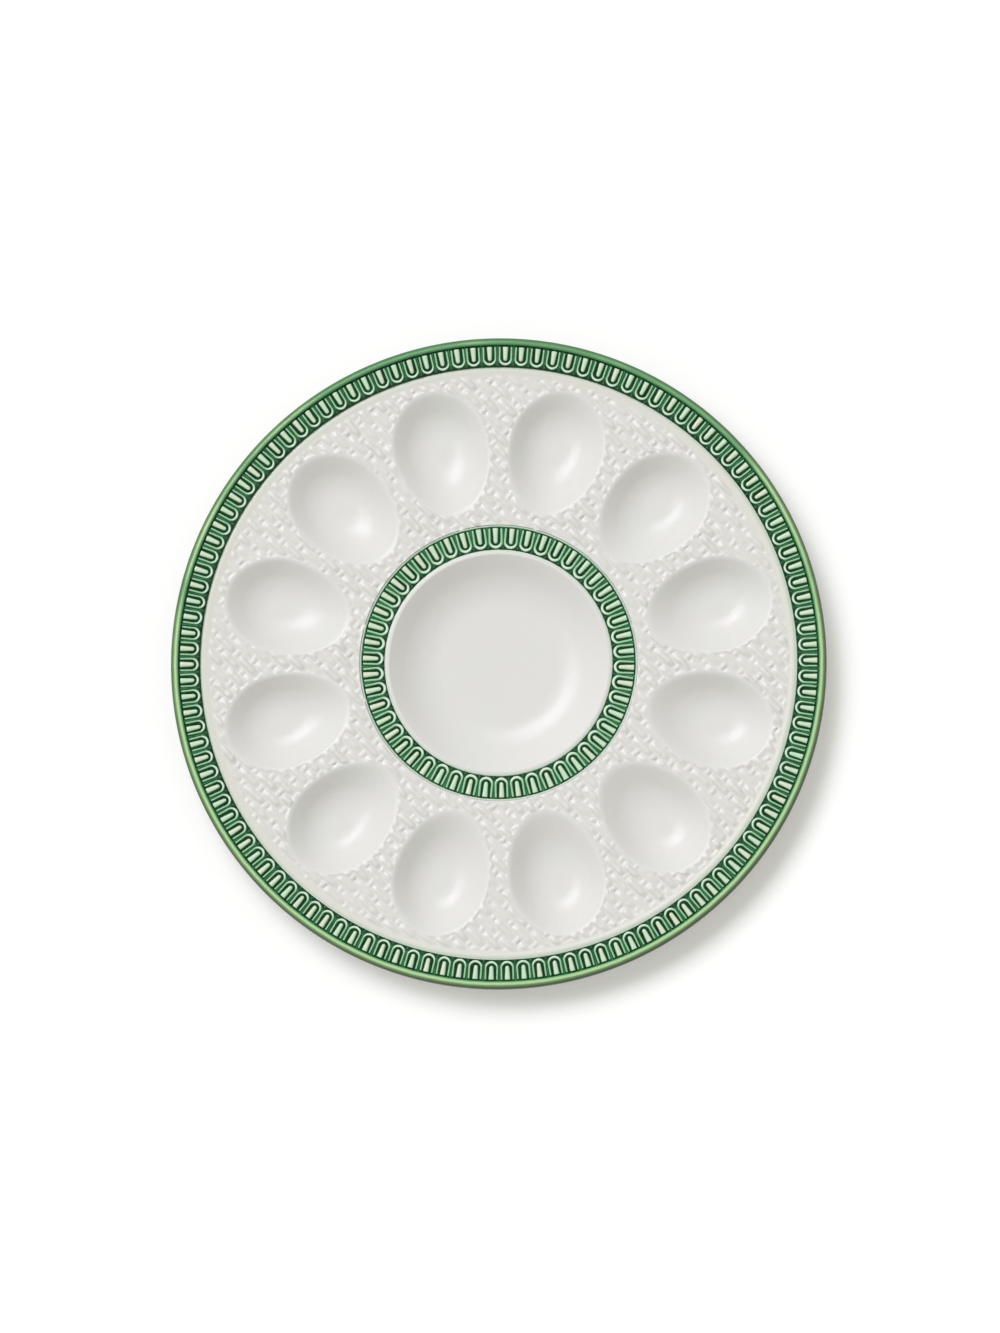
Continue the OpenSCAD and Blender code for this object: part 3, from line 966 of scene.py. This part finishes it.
def groundGlaze(border):
    # darkest in the arches and along the border's inner side, mid green between the arches
    s = Shader("groundGlaze")
    crown = moulding["archInset"] + moulding["archWidth"] / 2.0 + archMiddle
    step = 2.0 * pi / border["count"]
    (x, y, _), r = s.axes(), s.radius()
    phase = (y.maths("ARCTAN2", x) - (pi / 2.0 - radians(border["turn"]))) * (1.0 / step) + 0.5
    across = (phase.maths("FRACT") - 0.5) * r * step
    along = r - border["span"][0]
    before = (along - crown).maths("MINIMUM", 0.0)
    away = (across * across + before * before).maths("SQRT")
    between = s.smooth(away, archMiddle + 0.45, archMiddle + 1.0) * s.smooth(along, 0.7, 2.6)
    thin = s.smooth(s.noise(3.5, 17.1), 0.25, 0.75, 0.4, 1.0)
    colour = s.mix(between * thin, poolColour(s), greens["between"])
    return greenFinish(s, colour, s.bump(s.noise(1.6, 6.1), 0.2, 0.4), "pool")


def reliefGlaze(name, border, high, low, middle, full):
    # glaze breaks pale over the high parts, pools dark at their feet and towards the border's outer side
    s = Shader(name)
    (inner, outer), (endFrom, endTo) = border["span"], greens["outerEnd"]
    along = s.radius() - inner
    end = s.smooth(along, outer - inner - endFrom, outer - inner - endTo, 1.0, 0.25)
    relief = (s.stored("relief") + s.stray(0.3, 1.1, 7.7, 2.0, 0.6)) * end
    leaf = s.mix(s.smooth(relief, low, middle), poolColour(s), greens["leaf"])
    colour = s.mix(s.smooth(relief, middle - 0.05, full), leaf, high(s, along))
    return greenFinish(s, colour, s.bump(s.noise(1.3, 9.1), 0.2, 0.35))


def tongueHigh(s, along):
    # cream and mint in soft patches
    patch = s.stored("tint") * 0.35 + s.noise(3.2, 8.3)
    return s.mix(s.smooth(patch, 0.45, 0.9), greens["pale"], greens["cream"])


def archHigh(s, along):
    # brightest round the crown
    return s.mix(s.smooth(along + s.stray(2.5, 2.4, 18.7), 1.6, 4.2), greens["bright"], greens["mint"])


def dartHigh(s, along):
    return s.mix(s.stored("tint") * 0.5, greens["leaf"], greens["mint"])


# Colours across the rolled edge, from its outer side at 0 to the border at 1. The dark outer side and its
# darkest outermost line are painted shade, the same all round; the pale band by the crest is partly the thin
# glaze's own colour and partly a painted highlight
edgeBands = {
    "leafy": [
        (0.0, (0.03, 0.065, 0.02)), (0.12, (0.045, 0.095, 0.03)), (0.22, (0.11, 0.21, 0.075)),
        (0.4, (0.21, 0.37, 0.145)), (0.5, (0.44, 0.64, 0.34)), (0.68, (0.5, 0.69, 0.39)),
        (0.78, (0.21, 0.45, 0.19)), (0.92, (0.07, 0.28, 0.1)), (1.0, (0.006, 0.045, 0.014)),
    ],
    "bluish": [
        (0.0, (0.03, 0.08, 0.028)), (0.12, (0.038, 0.11, 0.04)), (0.25, (0.065, 0.19, 0.075)),
        (0.42, (0.11, 0.29, 0.12)), (0.54, (0.16, 0.35, 0.16)), (0.72, (0.15, 0.33, 0.145)),
        (0.8, (0.085, 0.28, 0.115)), (0.92, (0.042, 0.215, 0.08)), (1.0, (0.003, 0.037, 0.012)),
    ],
    "lean": 0.4,  # how much more often the bluish kind comes towards +Y
}


def edgeGlaze():
    s = Shader("edgeGlaze")
    turn = s.stored("turn") + s.stray(0.1, 6.0, 10.3)
    lean = s.axes()[1] * (edgeBands["lean"] / platter["radius"])
    kind = s.smooth(s.noise(45.0, 11.7) + lean, 0.5, 0.85)
    # the ramps carry painted shade on the outer side and a partly painted highlight by the crest
    colour = s.mix(kind, s.ramp(turn, edgeBands["leafy"]), s.ramp(turn, edgeBands["bluish"]))
    return greenFinish(s, colour, s.bump(s.noise(2.5, 12.1), 0.3, 0.35))


clay = {
    "dark": (0.5, 0.42, 0.33),
    "light": (0.66, 0.58, 0.48),
    "roughness": 0.78,
    "glazeFrom": (1.1, 1.4),  # height at which the glaze begins
}


def footFinish():
    # glaze wiped off the ring that stands on the table
    s = Shader("footFinish")
    bare = s.mix(s.noise(0.8, 13.1, 4.0, 0.7), clay["dark"], clay["light"])
    glaze = s.mix(s.noise(20.0, 14.1), white["cool"], white["warm"])
    line = s.smooth(s.axes()[2] + s.stray(0.8, 7.0, 15.1), *clay["glazeFrom"])
    grain = s.bump(s.noise(0.5, 16.1, 3.0, 0.6), 0.2, (1.0 - line) * 0.5)
    rough = clay["roughness"] - (clay["roughness"] - white["roughness"]) * line
    return s.finish(Base_Color=s.mix(line, bare, glaze), Roughness=rough, Normal=grain)


def dress(piece, material):
    piece.data.materials.clear()
    piece.data.materials.append(material)


reliefs = {  # colour of the high parts, and shares of the height: pool below, leaf green at, high colour above
    "tongues": ("TongueGlaze", tongueHigh, 0.04, 0.18, 0.44),
    "arches": ("ArchGlaze", archHigh, 0.08, 0.3, 0.62),
    "darts": ("DartGlaze", dartHigh, 0.7, 1.3, 1.6),
}
glaze = whiteGlaze()
for piece in whitePieces:
    dress(piece, glaze)
dress(footRing, footFinish())
dress(rolledEdge, edgeGlaze())
for key, pieces in mouldings.items():
    dress(pieces["ground"], groundGlaze(borders[key]))
    for part, (name, *look) in reliefs.items():
        dress(pieces[part], reliefGlaze(key + name, borders[key], *look))
print("glazes")


# Studio

studio = {
    "floorSize": 30000.0,
    "floorColour": (0.815, 0.815, 0.812),
    "floorTint": (1.0, 1.0, 0.95),
    "floorGlow": 0.245,  # seen only by the camera and by reflections
    "ambient": 0.487,
    "ambientTint": (1.0, 0.995, 0.91),  # warm in the hollows, which the lamps' tint makes up for elsewhere
    "keyTint": (1.0, 1.005, 1.09),
    "keyZenith": 35.0,
    "keyAngle": 27.0,
    "keys": ((115.0, 0.7), (134.0, 0.66), (153.0, 0.57)),  # azimuth and strength of each lamp
    "aim": (0.0007, -0.0018, 0.0165),
    "distance": 6.0,
    "elevation": 82.7,
    "leaning": (0.25, -0.97),
    "sensor": 36.0,
    "farthest": 50.0,
    "frameHeight": 0.6501,  # metres of the platter's plane from the photograph's bottom to its top
}


def seenDirectly(s):
    # 1 for what the camera sees, also in a reflection or through glass
    path = s.node("ShaderNodeLightPath", None, None, "Is Camera Ray")
    others = path.socket.node.outputs
    for name in ("Is Glossy Ray", "Is Transmission Ray"):
        path = path.maths("MAXIMUM", Value(s, others[name]))
    return path


def makeFloor():
    half = studio["floorSize"] / 2.0
    corners = [(-half, -half, 0.0), (half, -half, 0.0), (half, half, 0.0), (-half, half, 0.0)]
    floor = makePiece("floor", corners, [(0, 1, 2, 3)])
    s = Shader("floor")
    plain = s.node("ShaderNodeBsdfDiffuse", None, {"Color": studio["floorColour"]})
    strength = seenDirectly(s) * studio["floorGlow"]
    glow = s.node("ShaderNodeEmission", None, {"Color": studio["floorTint"], "Strength": strength})
    both = s.node("ShaderNodeAddShader", None, {0: plain, 1: glow})
    s.node("ShaderNodeOutputMaterial", None, {"Surface": both})
    dress(floor, s.owner)


def makeLight():
    s = Shader("studio", True)
    bpy.context.scene.world = s.owner
    direct = seenDirectly(s)
    light = s.smooth(direct, 0.0, 1.0, studio["ambient"], 1.0)
    tint = s.mix(direct, studio["ambientTint"], (1.0, 1.0, 1.0))
    background = s.node("ShaderNodeBackground", None, {"Color": tint, "Strength": light})
    s.node("ShaderNodeOutputWorld", None, {"Surface": background})
    zenith = radians(studio["keyZenith"])
    out, up = sin(zenith), cos(zenith)
    for n, (azimuth, strength) in enumerate(studio["keys"]):
        lamp = bpy.data.lights.new(f"softKey{n + 1}", "SUN")
        lamp.energy = strength
        lamp.color = studio["keyTint"]
        lamp.angle = radians(studio["keyAngle"])
        turn = radians(azimuth)
        towards = Vector((out * cos(turn), out * sin(turn), up))
        addObject(lamp.name, lamp).rotation_euler = towards.to_track_quat("Z", "Y").to_euler()


def makeCamera():
    aim, tilt = Vector(studio["aim"]), radians(studio["elevation"])
    lean = Vector((*studio["leaning"], 0.0)).normalized()
    back = (lean * cos(tilt) + Vector((0.0, 0.0, sin(tilt)))).normalized()
    right = Vector((0.0, 1.0, 0.0)).cross(back).normalized()
    facing = Matrix((right, back.cross(right), back)).transposed().to_4x4()
    camera = addObject("camera", bpy.data.cameras.new("camera"))
    camera.matrix_world = Matrix.Translation(aim + back * studio["distance"]) @ facing
    camera.data.sensor_fit = "VERTICAL"
    camera.data.sensor_height = studio["sensor"]
    camera.data.lens = studio["sensor"] * studio["distance"] / studio["frameHeight"]
    camera.data.clip_end = studio["farthest"]
    bpy.context.scene.camera = camera


makeFloor()
makeLight()
makeCamera()
bpy.context.scene.view_settings.view_transform = "Standard"
print("studio")
